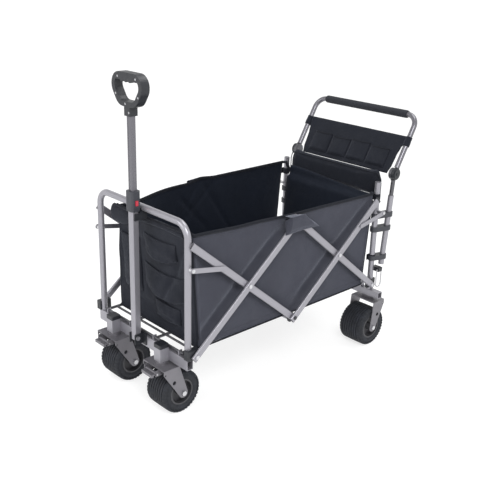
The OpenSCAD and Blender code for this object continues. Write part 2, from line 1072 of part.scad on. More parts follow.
// Blocks that carry the rear scissor pins, and the latch loop's bracket on the left post
module rear_brackets() {
    width = 2 * (bail_half - bail_r - 1);
    color(black) {
        both_sides()
            pivot_block(rear_x, -half_span, inner_y - 0.5);
        difference() {
            translate([bail_x - width / 2, leg_y, bail_z - 8])
                cube([width, bail_y + 6 - leg_y, 16]);
            translate([rear_x, leg_y, bail_z - 20])
                cylinder(r = tube_r + fit, h = 40);
            translate([bail_x, bail_y, bail_z])
                x_rod(bail_r + 0.1, -width, width);
        }
    }
}

// Places a part on the left push tube: z runs up along it from the hinge disc
module push_axis() {
    translate([disc_x, 0, disc_z])
        rotate([0, -push_lean, 0])
            children();
}

// Distance from the rear post's line to the push tube's line at height z
function push_x(z) = disc_x + (disc_z - z) * tan(push_lean);

module tube_clamps() {
    color(dark)
        both_sides()
            for (z = clamp_heights)
                difference() {
                    hull() {
                        translate([rear_x, leg_y, z])
                            cylinder(r = tube_r + 5, h = clamp_h);
                        translate([push_x(z), push_y, z])
                            cylinder(r = sleeve_r + 5, h = clamp_h);
                    }
                    translate([rear_x, leg_y, z - 1])
                        cylinder(r = tube_r + fit, h = clamp_h + 2);
                    translate([0, push_y, 0])
                        push_axis()
                            translate([0, 0, -sleeve_low - 10])
                                cylinder(r = sleeve_r + fit, h = sleeve_low);
                }
}

module push_outer_tubes() {
    color(steel)
        both_sides()
            translate([0, push_y, 0])
                push_axis()
                    translate([0, 0, -sleeve_low])
                        round_tube(sleeve_r, sleeve_r - stem_r - slide_gap,
                                   sleeve_low - sleeve_top);
}

module rear_roll() {
    half_y = leg_y + 1;
    x0 = rear_x - tube_r - seat - roll_t;
    corner = roll_t / 2 - 1;
    color(cloth)
        translate([x0 + roll_t / 2, half_y, (roll_z0 + roll_z1) / 2])
            rotate([90, 0, 0])
                linear_extrude(2 * half_y)
                    soft_square(roll_t, roll_z1 - roll_z0, corner);
}

// ---------- push handle ----------

module push_stems() {
    top = neck;
    color(dark)
        both_sides()
            translate([0, push_y, 0])
                push_axis() {
                    difference() {
                        translate([0, 0, -stem_low])
                            round_tube(stem_r, 2, stem_low - top);
                        for (k = [0:3])
                            translate([0, 0, -top - 12 - k * hole_pitch])
                                x_rod(2.6, -stem_r - 1, stem_r + 1);
                    }
                    translate([-7, -8, -top - 2])
                        cube([14, 8 - disc_split, top + 2]);
                    y_rod(disc_r, -disc_t, -disc_split);
                }
}

// Places a part on the left leg of the push handle: z runs up along the leg
module handle_axis() {
    translate([disc_x, 0, disc_z])
        rotate([0, -handle_lean, 0])
            children();
}

module hinge_discs() {
    color(dark)
        both_sides()
            translate([0, push_y, 0])
                handle_axis() {
                    y_rod(disc_r, disc_split, disc_t);
                    y_rod(disc_r - 5, disc_t, disc_t + 3);
                    y_rod(5, disc_t + 3, disc_t + 5);
                    translate([-7, disc_split, 0])
                        cube([14, 8 - disc_split, neck - 0.2]);
                }
}

module push_handle_tube() {
    color(steel)
        handle_axis()
            translate([0, 0, neck])
                u_tube(push_y, handle_len - neck, handle_bend_r, handle_r, tube_wall);
}

module foam_grip() {
    half_y = push_y - handle_bend_r - 2;
    color(black)
        handle_axis()
            translate([0, 0, handle_len])
                difference() {
                    y_rod(foam_r, -half_y, half_y);
                    y_rod(handle_r + fit, -half_y - 1, half_y + 1);
                }
}

module organizer() {
    half_y = push_y - handle_r - seat;
    waist_y = half_y - 14;
    color(cloth)
        handle_axis()
            translate([-organizer_t / 2, 0, organizer_low]) {
                translate([0, -waist_y, 0])
                    cube([organizer_t, 2 * waist_y, organizer_h]);
                translate([0, -half_y, disc_r + 4])
                    cube([organizer_t, 2 * half_y, organizer_h - disc_r - 4]);
            }
}

// Wire loop that latches the folded wagon, hanging from its bracket on the left rear post
module wire_bail() {
    color(grey)
        translate([bail_x, bail_y, bail_z]) {
            for (side = [-1, 1])
                translate([side * bail_half, 0, -bail_drop])
                    cylinder(r = bail_r, h = bail_drop);
            translate([0, 0, -bail_drop])
                rotate([90, 180, 0])
                    rotate_extrude(angle = 180)
                        translate([bail_half, 0])
                            circle(r = bail_r);
            x_rod(bail_r, -bail_half - bail_r, bail_half + bail_r);
        }
}

module placed() {
    translate([-x_mid, 0, 0])
        children();
}

placed() front_u_frame();
placed() front_crossbar();
placed() caster_post_caps();
placed() front_pivot_brackets();
placed() front_frame_pins();
placed() handle_bracket();
placed() handle_clip();
placed() cargo_bag();
placed() pull_outer_tube();
placed() pull_collar();
placed() pull_inner_tube();
placed() grip_front_shell();
placed() grip_rear_shell();
placed() grip_screws();
placed() release_button();
for (side = SIDES) {
    placed() caster_fork(side);
    placed() caster_axle_set(side);
    placed() caster_tyre(side);
    placed() caster_rim(side);
    placed() brake_pedal(side);
    placed() front_outer_bar(side);
    placed() front_inner_bar(side);
    placed() rear_outer_bar(side);
    placed() rear_inner_bar(side);
    placed() rear_tyre(side);
    placed() rear_rim(side);
}
placed() front_crossing_rivets();
placed() rear_crossing_rivets();
placed() top_rivets();
placed() mid_brackets();
placed() mid_cross_tube();
placed() rear_bar_caps();
placed() front_links();
placed() rear_links();
placed() front_floor_ladder();
placed() rear_floor_ladder();
placed() rear_frame_tubes();
placed() rear_forks();
placed() rear_frame_pins();
placed() rear_brackets();
placed() tube_clamps();
placed() push_outer_tubes();
placed() rear_roll();
placed() push_stems();
placed() hinge_discs();
placed() push_handle_tube();
placed() foam_grip();
placed() organizer();
placed() wire_bail();
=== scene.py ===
import json
import math

import bmesh
import bpy
from mathutils import Matrix, Vector, noise

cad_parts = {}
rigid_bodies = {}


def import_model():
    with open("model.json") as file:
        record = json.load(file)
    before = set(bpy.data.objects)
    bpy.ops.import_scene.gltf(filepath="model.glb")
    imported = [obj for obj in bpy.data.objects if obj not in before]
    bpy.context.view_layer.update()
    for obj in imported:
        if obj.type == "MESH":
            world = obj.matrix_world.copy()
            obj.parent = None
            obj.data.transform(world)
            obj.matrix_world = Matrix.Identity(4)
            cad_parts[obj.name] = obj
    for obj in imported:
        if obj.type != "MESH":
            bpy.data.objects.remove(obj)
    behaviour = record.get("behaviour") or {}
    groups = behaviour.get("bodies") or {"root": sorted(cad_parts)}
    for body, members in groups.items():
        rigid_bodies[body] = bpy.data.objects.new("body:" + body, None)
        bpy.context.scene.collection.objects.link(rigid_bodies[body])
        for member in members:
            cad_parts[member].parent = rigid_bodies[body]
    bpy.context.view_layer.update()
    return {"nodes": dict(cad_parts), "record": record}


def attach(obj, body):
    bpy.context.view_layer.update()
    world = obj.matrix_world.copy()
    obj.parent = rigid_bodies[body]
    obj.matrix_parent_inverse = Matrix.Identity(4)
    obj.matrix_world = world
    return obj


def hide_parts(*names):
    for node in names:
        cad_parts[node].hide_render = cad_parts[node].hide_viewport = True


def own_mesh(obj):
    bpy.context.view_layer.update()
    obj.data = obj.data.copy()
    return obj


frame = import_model()
nodes = frame["nodes"]
slot_of = {part["node"]: part["material_slot"] for part in frame["record"]["subparts"]}
colour_of = {m["slot"]: m["base_color"] for m in frame["record"]["materials"]}

MM = 0.001


# ---------- shader helpers ----------

class Shader:
    """A material with one Principled shader, and short calls to add nodes to it."""

    def __init__(self, name, colour, roughness, metallic=0.0, specular=0.5):
        self.material = bpy.data.materials.new(name)
        self.material.use_nodes = True
        self.tree = self.material.node_tree
        self.out = self.tree.nodes["Principled BSDF"]
        self.colour = (*colour[:3], 1.0)
        self.set("Base Color", self.colour)
        self.set("Roughness", roughness)
        self.set("Metallic", metallic)
        self.set("Specular IOR Level", specular)
        self.coords = self.tree.nodes.new("ShaderNodeTexCoord").outputs["Object"]

    def set(self, socket, value):
        self.out.inputs[socket].default_value = value

    def link(self, a, b):
        self.tree.links.new(a, b)

    def node(self, kind, inputs=None, **settings):
        made = self.tree.nodes.new(kind)
        for key, value in settings.items():
            setattr(made, key, value)
        for key, value in (inputs or {}).items():
            if isinstance(value, bpy.types.NodeSocket):
                self.link(value, made.inputs[key])
            else:
                made.inputs[key].default_value = value
        return made

    def noise(self, scale, detail=3.0, rough=0.55, coords=None):
        return self.node("ShaderNodeTexNoise", {
            "Vector": coords or self.coords, "Scale": scale, "Detail": detail,
            "Roughness": rough}).outputs["Fac"]

    def ramp(self, fac, low, high, v0=0.0, v1=1.0):
        """Maps fac from low..high to v0..v1, clamped."""
        return self.node("ShaderNodeMapRange", {
            "Value": fac, "From Min": low, "From Max": high,
            "To Min": v0, "To Max": v1}).outputs["Result"]

    def math(self, operation, a, b=0.0):
        made = self.tree.nodes.new("ShaderNodeMath")
        made.operation = operation
        for socket, value in zip(made.inputs, (a, b)):
            if isinstance(value, bpy.types.NodeSocket):
                self.link(value, socket)
            else:
                socket.default_value = value
        return made.outputs[0]

    def mix(self, fac, a, b):
        made = self.node("ShaderNodeMix", data_type="RGBA")
        for key, value in ((0, fac), (6, a), (7, b)):
            if isinstance(value, bpy.types.NodeSocket):
                self.link(value, made.inputs[key])
            else:
                made.inputs[key].default_value = value
        return made.outputs[2]

    def tint(self, fac, dark, light):
        """Colour varies with fac between dark and light times the base colour."""
        shade = [tuple(min(1.0, c * k) for c in self.colour[:3]) + (1.0,) for k in (dark, light)]
        result = self.mix(fac, shade[0], shade[1])
        self.link(result, self.out.inputs["Base Color"])
        return result

    def rough(self, fac, low, high):
        self.link(self.ramp(fac, 0.25, 0.75, low, high), self.out.inputs["Roughness"])

    def bump(self, height, strength, distance, under=None):
        inputs = {"Strength": strength, "Distance": distance, "Height": height}
        if under is not None:
            inputs["Normal"] = under
        made = self.node("ShaderNodeBump", inputs)
        self.link(made.outputs["Normal"], self.out.inputs["Normal"])
        return made.outputs["Normal"]


def powder_coat(name, colour, roughness=0.38):
    """Powder-coated steel: fine orange peel, faint cloudy gloss and small scuffs."""
    s = Shader(name, colour, roughness, metallic=0.6)
    s.set("Coat Weight", 0.15)
    s.set("Coat Roughness", 0.3)
    clouds = s.noise(9.0)
    peel = s.noise(900.0, 2.0)
    scuffs = s.ramp(s.noise(160.0, 6.0, 0.7), 0.63, 0.72)
    base = s.tint(clouds, 0.93, 1.05)
    worn = s.mix(s.math("MULTIPLY", scuffs, 0.35), base,
                 tuple(c * 0.62 for c in colour[:3]) + (1.0,))
    s.link(worn, s.out.inputs["Base Color"])
    s.rough(s.noise(45.0), roughness - 0.06, roughness + 0.10)
    s.bump(peel, 0.12, 0.0003)
    return s.material


def zinc(name, colour):
    """Zinc-plated fasteners: bright metal with fine spangle."""
    s = Shader(name, colour, 0.32, metallic=0.9)
    s.tint(s.noise(350.0, 4.0), 0.78, 1.1)
    s.rough(s.noise(220.0), 0.24, 0.42)
    s.bump(s.noise(1200.0), 0.15, 0.0002)
    return s.material


def moulded(name, colour, roughness=0.45, grain=2200.0):
    """Moulded plastic with a fine leather-like grain and rubbed, glossier areas."""
    s = Shader(name, colour, roughness)
    s.tint(s.noise(30.0), 0.85, 1.2)
    s.rough(s.noise(60.0, 4.0), roughness - 0.08, roughness + 0.12)
    cells = s.node("ShaderNodeTexVoronoi", {"Vector": s.coords, "Scale": grain})
    s.bump(cells.outputs["Distance"], 0.18, 0.0003)
    return s.material


def rubber(name, colour, roughness=0.75):
    """Matte tyre rubber with a little dust in its grain."""
    s = Shader(name, colour, roughness)
    dust = s.ramp(s.noise(40.0, 6.0, 0.65), 0.45, 0.75)
    s.tint(dust, 0.85, 1.7)
    s.rough(s.noise(120.0), roughness - 0.08, roughness + 0.1)
    s.bump(s.noise(1500.0, 3.0), 0.3, 0.0004)
    return s.material


def foam(name, colour):
    """Closed-cell foam: dull, with tiny open pores."""
    s = Shader(name, colour, 0.85)
    s.tint(s.noise(60.0, 4.0), 0.8, 1.35)
    cells = s.node("ShaderNodeTexVoronoi", {"Vector": s.coords, "Scale": 900.0})
    s.bump(cells.outputs["Distance"], 0.5, 0.0006)
    return s.material


def weave_height(s, pitch):
    """Height of a plain weave on any wall: threads along x + y and along z + x - y."""
    split = s.node("ShaderNodeSeparateXYZ", {"Vector": s.coords})
    x, y, z = split.outputs
    turns = 2 * math.pi / pitch
    warp = s.math("MULTIPLY", s.math("ADD", x, y), turns)
    weft = s.math("MULTIPLY", s.math("ADD", z, s.math("SUBTRACT", x, y)), turns)
    warp, weft = s.math("SINE", warp), s.math("SINE", weft)
    return s.math("MULTIPLY", warp, weft)


def canvas(name, colour, pitch=1.3 * MM, light=1.25, crease=0.5, sheen=0.25, specular=0.35):
    """Woven polyester: thread relief, uneven dye, broad soft creases and a little sheen."""
    s = Shader(name, colour, 0.72, specular=specular)
    s.set("Sheen Weight", sheen)
    s.set("Sheen Roughness", 0.45)
    s.set("Sheen Tint", (0.75, 0.8, 0.95, 1.0))
    threads = weave_height(s, pitch)
    patches = s.noise(7.0, 4.0)
    shade = s.math("ADD", s.math("MULTIPLY", threads, 0.12), patches)
    s.tint(shade, 0.8, light)
    s.rough(s.noise(25.0), 0.64, 0.82)
    folds = s.bump(s.noise(14.0, 3.0, 0.6), crease, 0.006)
    s.bump(threads, 0.35, 0.0005, under=folds)
    return s.material


BUILDERS = {
    "tube": lambda n, c: powder_coat(n, (0.30, 0.295, 0.325), 0.34),
    "zinc": zinc,
    "fork": lambda n, c: powder_coat(n, (0.175, 0.17, 0.187), 0.42),
    "stem": lambda n, c: powder_coat(n, c, 0.4),
    "plastic": lambda n, c: moulded(n, (0.012, 0.0135, 0.0175)),
    "collar": lambda n, c: moulded(n, (0.03, 0.032, 0.04)),
    "button": lambda n, c: moulded(n, (0.42, 0.03, 0.05), 0.25, 1500.0),
    "canvas": canvas,
    "padding": canvas,
    "tyre": lambda n, c: rubber(n, (0.0095, 0.0112, 0.0165)),
    "wheel": lambda n, c: moulded(n, c, 0.5),
    "foam": lambda n, c: foam(n, (0.0095, 0.0112, 0.0165)),
}
finish_of = {name: BUILDERS[name](name, colour) for name, colour in colour_of.items()}


def paint(obj, material):
    obj.data.materials.clear()
    obj.data.materials.append(material)


for node_name, node_object in nodes.items():
    paint(node_object, finish_of[slot_of[node_name]])
sliding_tube = powder_coat("tube_polished", (0.15, 0.147, 0.165), 0.28)
for node_name in ("pull_inner_tube", "push_handle_tube"):
    paint(nodes[node_name], sliding_tube)


# ---------- mesh helpers (millimetres, x from the lower middle pivot) ----------

SHIFT = 59.75     # the wagon's lower middle pivot, in x, in the row frame


def place(p):
    return ((p[0] + SHIFT) * MM, p[1] * MM, p[2] * MM)


def smooth(t, a=0.0, b=1.0):
    t = min(1.0, max(0.0, (t - a) / (b - a)))
    return t * t * (3 - 2 * t)


def lerp(a, b, t):
    return a + (b - a) * t


def along(pairs, t):
    """Smoothly interpolated value of [(position, value), ...] at t."""
    if t <= pairs[0][0]:
        return pairs[0][1]
    for (t0, v0), (t1, v1) in zip(pairs, pairs[1:]):
        if t <= t1:
            return lerp(v0, v1, smooth(t, t0, t1))
    return pairs[-1][1]


def make(name, points, faces, material, thickness=0.0, offset=-1.0, subdivide=0):
    """A smooth-shaded mesh from points in millimetres, as an object with its material."""
    mesh = bpy.data.meshes.new(name)
    mesh.from_pydata([place(p) for p in points], [], faces)
    work = bmesh.new()
    work.from_mesh(mesh)
    bmesh.ops.remove_doubles(work, verts=work.verts, dist=0.00001)
    bmesh.ops.recalc_face_normals(work, faces=work.faces)
    for face in work.faces:
        face.smooth = True
    work.to_mesh(mesh)
    work.free()
    obj = bpy.data.objects.new(name, mesh)
    bpy.context.scene.collection.objects.link(obj)
    if thickness:
        solid = obj.modifiers.new("thickness", "SOLIDIFY")
        solid.thickness = thickness * MM
        solid.offset = offset
        solid.use_quality_normals = True
    if subdivide:
        sub = obj.modifiers.new("subdivide", "SUBSURF")
        sub.levels = sub.render_levels = subdivide
    paint(obj, material)
    return obj


def grid_faces(nu, nv, closed_u=False, closed_v=False, base=0):
    """Quads of a grid with nu columns of nv points each."""
    faces = []
    for i in range(nu if closed_u else nu - 1):
        for j in range(nv if closed_v else nv - 1):
            a, b = i * nv + j, ((i + 1) % nu) * nv + j
            c, d = ((i + 1) % nu) * nv + (j + 1) % nv, i * nv + (j + 1) % nv
            faces.append((base + a, base + b, base + c, base + d))
    return faces


def tube(path, section, closed=False, caps=True):
    """Points and faces of a section swept along a path; section gives (side, up) pairs."""
    points, n = [], len(path)
    for i, p in enumerate(path):
        a = Vector(path[(i - 1) % n] if closed else path[max(0, i - 1)])
        b = Vector(path[(i + 1) % n] if closed else path[min(n - 1, i + 1)])
        run = (b - a).normalized()
        up = Vector((0, 0, 1)) if abs(run.z) < 0.9 else Vector((1, 0, 0))
        side = run.cross(up).normalized()
        up = side.cross(run).normalized()
        for u, w in section:
            q = Vector(p) + side * u + up * w
            points.append(tuple(q))
    m = len(section)
    faces = grid_faces(n, m, closed, True)
    if caps and not closed:
        faces.append(tuple(range(m)))
        faces.append(tuple((n - 1) * m + k for k in range(m)))
    return points, faces


def ellipse(ru, rw, count=12):
    return [(ru * math.cos(2 * math.pi * k / count), rw * math.sin(2 * math.pi * k / count))
            for k in range(count)]


def wobble(x, y, z, size):
    """Seeded smooth noise from -1 to 1; size is its feature size in millimetres."""
    return noise.noise(Vector((x / size, y / size, z / size)))


def near_segment(x, z, p, q):
    """Distance from (x, z) to the segment p-q, and the share along it."""
    dx, dz = q[0] - p[0], q[1] - p[1]
    t = min(1.0, max(0.0, ((x - p[0]) * dx + (z - p[1]) * dz) / (dx * dx + dz * dz)))
    return math.hypot(x - p[0] - t * dx, z - p[1] - t * dz), t


def crease(x, z, p, q, depth, width):
    """A soft groove along the segment p-q that fades out at its ends."""
    d, t = near_segment(x, z, p, q)
    return -depth * math.exp(-(d / width) ** 2) * smooth(t, -0.05, 0.2) * smooth(1 - t, -0.05, 0.2)


# ---------- fabrics ----------

outer_cloth = canvas("cloth_outer", (0.029, 0.0305, 0.043), light=1.2, crease=0.35, specular=0.28)
panel_cloth = canvas("cloth_panel", (0.0065, 0.0078, 0.013), light=1.3, crease=0.5, sheen=0.12,
                     specular=0.2)
# Inside faces of the walls and the floor mat get a much darker copy of the bag cloth: painted shade
# for the bag's shadowed inside.
shaded_inner_cloth = canvas("cloth_inner_painted_shade", (0.0035, 0.0058, 0.012), light=1.5, crease=0.5, sheen=0.06,
                     specular=0.2)
roll_cloth = canvas("cloth_roll", (0.006, 0.0074, 0.0125), light=1.35, crease=0.3, sheen=0.1,
                    specular=0.2)
binding_cloth = canvas("cloth_binding", (0.0055, 0.0065, 0.0105), pitch=0.9 * MM, crease=0.1,
                       sheen=0.08, specular=0.2)
thread = moulded("thread", (0.05, 0.052, 0.06), 0.6, 3000.0)


# ---------- cargo bag ----------

BAG_Y, BAG_FLOOR = 235.0, 246.0
ROWS = 44
SIDE_COLUMNS, END_COLUMNS, CORNER = 96, 52, 5
REAR_RIM_Z, POST_INSIDE = 584.0, 222.0     # the rear wall's rim, and the rear posts' inner faces


def end_x(v):
    return lerp(407.0, 438.0, v)


def far_front_y(v):
    return -along([(0.0, 202.0), (0.5, 184.0), (0.86, 164.0), (1.0, 166.0)], v)


def far_y(x, v):
    pulled = BAG_Y + far_front_y(v)
    return -BAG_Y + pulled * smooth(x, 120.0, 438.0) ** 1.3


def between_posts(y):
    """1 between the rear posts, fading to 0 at them."""
    return smooth(POST_INSIDE - abs(y), 0.0, 14.0)


def rim_z(x, y):
    near = along([(-452, 606), (-35, 613), (200, 623), (443, 634)], x)
    far = along([(-440, 632), (-60, 632), (14, 638), (90, 626), (300, 622), (440, 630)], x)
    side = smooth(y, -200.0, 200.0)
    front = 640.0 - 6.0 * math.cos(math.pi * y / 400.0)
    rear = lerp(lerp(far, near, side), REAR_RIM_Z, smooth(-x, 436.5, 438.0) * between_posts(y))
    return lerp(rear, front, smooth(x, 425.0, 438.0))


def ring(v):
    """The bag's outline at height share v: (x, y, outward x, outward y, wall) once around."""
    e, r = end_x(v), 14.0
    out = []
    for i in range(SIDE_COLUMNS):
        x = lerp(e - r, -e + r, i / (SIDE_COLUMNS - 1))
        out.append((x, BAG_Y, 0.0, 1.0, "near"))
    for k in range(1, CORNER):
        a = math.radians(90 + 90 * k / CORNER)
        out.append((-e + r + r * math.cos(a), BAG_Y - r + r * math.sin(a),
                    math.cos(a), math.sin(a), "corner"))
    for i in range(END_COLUMNS):
        out.append((-e, lerp(BAG_Y - r, -BAG_Y + r, i / (END_COLUMNS - 1)), -1.0, 0.0, "rear"))
    for k in range(1, CORNER):
        a = math.radians(180 + 90 * k / CORNER)
        out.append((-e + r + r * math.cos(a), -BAG_Y + r + r * math.sin(a),
                    math.cos(a), math.sin(a), "slit"))
    for i in range(SIDE_COLUMNS):
        x = lerp(-e + r, e - r, i / (SIDE_COLUMNS - 1))
        out.append((x, far_y(x, v), 0.0, -1.0, "far"))
    y0 = far_y(e - r, v)
    for k in range(1, CORNER):
        a = math.radians(270 + 90 * k / CORNER)
        out.append((e - r + r * math.cos(a), y0 + r + r * math.sin(a),
                    math.cos(a), math.sin(a), "corner"))
    for i in range(END_COLUMNS):
        out.append((e, lerp(y0 + r, BAG_Y - r, i / (END_COLUMNS - 1)), 1.0, 0.0, "front"))
    for k in range(1, CORNER):
        a = math.radians(90 * k / CORNER)
        out.append((e - r + r * math.cos(a), BAG_Y - r + r * math.sin(a),
                    math.cos(a), math.sin(a), "corner"))
    return out


def bag_relief(x, y, z, v, wall):
    """How far the cloth stands out from its plain wall, in millimetres."""
    fade = math.sin(math.pi * min(1.0, max(0.0, v))) ** 0.6
    out = 2.5 * wobble(x, y, z, 130.0) * fade + 0.9 * wobble(x + 40, y, z, 45.0) * fade
    if wall == "near":
        out += -3.0 * fade
        for p, q in (((430, 262), (30, 590)), ((-20, 592), (-430, 270))):
            out += crease(x, z, p, q, 11.0, 17.0)
        for p, q in (((6, 270), (430, 560)), ((-8, 270), (-425, 590))):
            out += crease(x, z, p, q, 9.0, 16.0)
        out += crease(x, z, (-95, 566), (62, 560), 5.0, 7.0)
    if wall == "far":
        for p, q in (((14, 636), (250, 300)), ((14, 636), (-210, 300)), ((120, 590), (-30, 420)),
                     ((-60, 620), (110, 470))):
            out -= crease(x, z, p, q, 5.0, 9.0)
    if wall == "front":
        out += -6.0 * fade * (1 - (y / 235.0) ** 2)
        out += crease(y, z, (-150, 560), (190, 500), 4.0, 14.0)
        out += crease(y, z, (200, 600), (60, 330), 5.0, 12.0)
        out += crease(y, z, (-120, 320), (150, 290), 4.0, 12.0)
    if wall == "rear":
        out += 2.5 * math.sin(y / 38.0) * fade * 0.5
    return out


def over_tube(y, z):
    """The rear wall leans back over the frame's cross tube, between the posts."""
    return 21.0 * smooth(z, 567.0, 583.0) * between_posts(y)


def bag_point(i, j, rings):
    v = j / (ROWS - 1)
    x, y, nx, ny, wall = rings[j][i]
    z = lerp(BAG_FLOOR, rim_z(x, y), v)
    if wall == "near":
        z += 6.0 * (1 - v) * smooth(x, 250.0, 420.0) * 2.0
    out = bag_relief(x, y, z, v, wall)
    if wall == "rear":
        out += over_tube(y, z)
    return (x + nx * out, y + ny * out, z)


rings = [ring(j / (ROWS - 1)) for j in range(ROWS)]
COLUMNS = len(rings[0])
bag_points = [bag_point(i, j, rings) for i in range(COLUMNS) for j in range(ROWS)]
bag_faces = []
for i in range(COLUMNS):
    k = (i + 1) % COLUMNS
    for j in range(ROWS - 1):
        wall, nxt = rings[j][i][4], rings[j][k][4]
        in_slit = "slit" in (wall, nxt) or (wall == "rear" and rings[j][i][1] < -205)
        if in_slit and j > ROWS * 0.3:
            continue
        bag_faces.append((i * ROWS + j, k * ROWS + j, k * ROWS + j + 1, i * ROWS + j + 1))
bag = make("bag_walls", bag_points, bag_faces, outer_cloth, thickness=2.2, offset=-1.0)
bag.data.materials.append(panel_cloth)
bag.data.materials.append(shaded_inner_cloth)

# the inner shell of each wall takes the darker cloth, painted shade inside the bag
bag.modifiers["thickness"].material_offset = 2
for face in bag.data.polygons:
    centre = sum((bag.data.vertices[k].co for k in face.vertices), Vector()) / 4
    if centre.x / MM - SHIFT > 396.0 and centre.y / MM < 228.0:
        face.material_index = 1
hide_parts("cargo_bag")
bag_pieces = [bag]


def rim_path(v, wall_names, lift=0.0, out_by=0.0):
    """Points of the bag's outline at height share v, over the named walls."""
    path = []
    for x, y, nx, ny, wall in ring(v):
        if wall in wall_names:
            z = lerp(BAG_FLOOR, rim_z(x, y), v)
            out = bag_relief(x, y, z, v, wall) + out_by
            if wall == "rear":
                out += over_tube(y, z)
            path.append((x + nx * out, y + ny * out, z + lift))
    return path


TAPE = [(-2.6, -9.0), (-2.2, 1.0), (0.0, 2.2), (2.2, 1.0), (2.6, -9.0), (0.0, -9.8)]
rim_all = rim_path(1.0, ("near", "corner", "rear", "far", "front"), 0.0, -1.1)
points, faces = tube(rim_all, TAPE, closed=True)
binding = make("bag_rim_binding", points, faces, binding_cloth)
bag_pieces.append(binding)

cord_path = rim_path(0.0, ("near", "corner", "rear", "slit", "far", "front"), 1.0, 1.2)
points, faces = tube(cord_path, ellipse(2.6, 2.6, 8), closed=True)
bag_pieces.append(make("bag_bottom_piping", points, faces, binding_cloth))

# vertical corner seams: narrow raised tapes
for tape_name, end_sign in (("front_near", 1), ("rear_near", -1)):
    path = []
    for j in range(3, ROWS - 2):
        v = j / (ROWS - 1)
        e = end_x(v) - 4.1
        rim = rim_z(end_sign * e, BAG_Y)
        path.append((end_sign * (e + 0.6), BAG_Y - 3.5, lerp(BAG_FLOOR, rim, v)))
    points, faces = tube(path, ellipse(2.2, 2.2, 8))
    bag_pieces.append(make("bag_seam_" + tape_name, points, faces, binding_cloth))

# base mat: four stiffened panels with sewn valleys between them
mat_points = []
NX, NY = 97, 41
for i in range(NX):
    for j in range(NY):
        x = lerp(-400.0, 400.0, i / (NX - 1))
        y = lerp(-229.0, 229.0, j / (NY - 1))
        if x > 120.0:
            y = lerp(-229.0 + 62.0 * smooth(x, 150.0, 400.0), 229.0, j / (NY - 1))
        edge = min(1.0, (400.0 - abs(x)) / 10.0, (229.0 - abs(y)) / 10.0)
        valley = min(abs(abs(x) - 200.0), abs(x)) / 9.0
        top = 4.6 * smooth(max(0.0, edge)) * (0.35 + 0.65 * smooth(valley))
        mat_points.append((x, y, 247.6 + top + 0.5 * wobble(x, y, 0.0, 60.0)))
# the floor mat takes the darker inner cloth, painted shade inside the bag
mat_piece = make("bag_floor", mat_points, grid_faces(NX, NY), shaded_inner_cloth, thickness=2.0)
bag_pieces.append(mat_piece)

# folded cloth that covers the two upper middle joints
def joint_cover(side):
    cover_points = []
    nu, nv = 31, 19
    for i in range(nu):
        s = i / (nu - 1)
        for j in range(nv):
            t = j / (nv - 1)
            top_x, low_x = lerp(40.0, 2.0, s), lerp(66.0, -96.0, s)
            x = lerp(top_x, low_x, t ** 0.8)
            rim = rim_z(x, 235.0 * side)
            z = lerp(rim - 1.0, 619.0, smooth(t, 0.0, 0.16))
            z = lerp(z, 560.0 + 3.0 * math.sin(math.pi * s), max(0.0, t - 0.16) / 0.84)
            stand = 237.5 + 38.5 * smooth(t, 0.0, 0.15)
            y = stand - 4.0 * smooth(t, 0.75, 1.0) + 1.3 * wobble(x, 0.0, z, 30.0) * smooth(t)
            y -= 30.0 * smooth(abs(2 * s - 1), 0.80, 1.0) * smooth(t, 0.1, 0.5) * smooth(1.15 - t)
            cover_points.append((x, side * y, z))
    name = "bag_joint_cover_" + ("left" if side > 0 else "right")
    return make(name, cover_points, grid_faces(nu, nv), outer_cloth, thickness=1.6,
                offset=-side)


for side in (1, -1):
    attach(joint_cover(side), "front_outer_bars")


# front panel: rolled hem with a rounded end, and slack patch pockets
def hem_roll():
    path, sections = [], []
    per, end = 26, -197.0
    for i in range(61):
        y = lerp(end, 196.0, (i / 60) ** 1.6)
        near_clip = math.exp(-(y / 34.0) ** 2)
        half = lerp(31.0, 11.0, smooth(y, -140.0, -30.0)) - 1.0 * near_clip
        mid_z = lerp(603.0, 621.0, smooth(y, -150.0, -20.0)) + 3.0 * math.sin(y / 60.0)
        path.append((431.5, y, mid_z))
        sections.append(half)
    roll_points = []
    for (x, y, z), half in zip(path, sections):
        rounding = math.sqrt(max(0.0004, 1.0 - max(0.0, 1.0 - (y - end) / 15.0) ** 2))
        for k in range(per):
            a = 2 * math.pi * k / per
            slack = 1.0 + 0.05 * wobble(y, 40 * math.cos(a), 40 * math.sin(a), 38.0)
            roll_points.append((x + 12.0 * rounding * slack * math.cos(a) * (half / 24.0) ** 0.3,
                                y, z + half * rounding * slack * math.sin(a)))
    return make("bag_front_hem", roll_points, grid_faces(len(path), per, False, True), panel_cloth)


bag_pieces.append(hem_roll())


def panel_pocket(name, y0, y1, z_top, z_low, sag, belly, slack):
    """Slack pocket on the front panel: its mouth dips and its foot hangs in a curve."""
    nu, nv = 33, 25
    pocket_points = []
    for i in range(nu):
        s = i / (nu - 1)
        bow = 4.0 * s * (1 - s)
        for j in range(nv):
            t = j / (nv - 1)
            y = lerp(y0, y1, s)
            z = lerp(z_top - slack * bow, z_low - sag * bow, t)
            v = (z - BAG_FLOOR) / (640.0 - BAG_FLOOR)
            base = end_x(v) + bag_relief(end_x(v), y, z, v, "front")
            lift = belly * bow ** 0.7 * smooth(t * 1.15, 0.0, 0.8) * (1 - smooth(t, 0.86, 1.0))
            mouth = 3.0 * bow * (1 - t)
            x = base + 0.8 + lift + mouth + 1.2 * wobble(y, z, 3.0, 26.0) * bow
            pocket_points.append((x, y, z))
    return make(name, pocket_points, grid_faces(nu, nv), panel_cloth, thickness=1.5,
                offset=1.0)


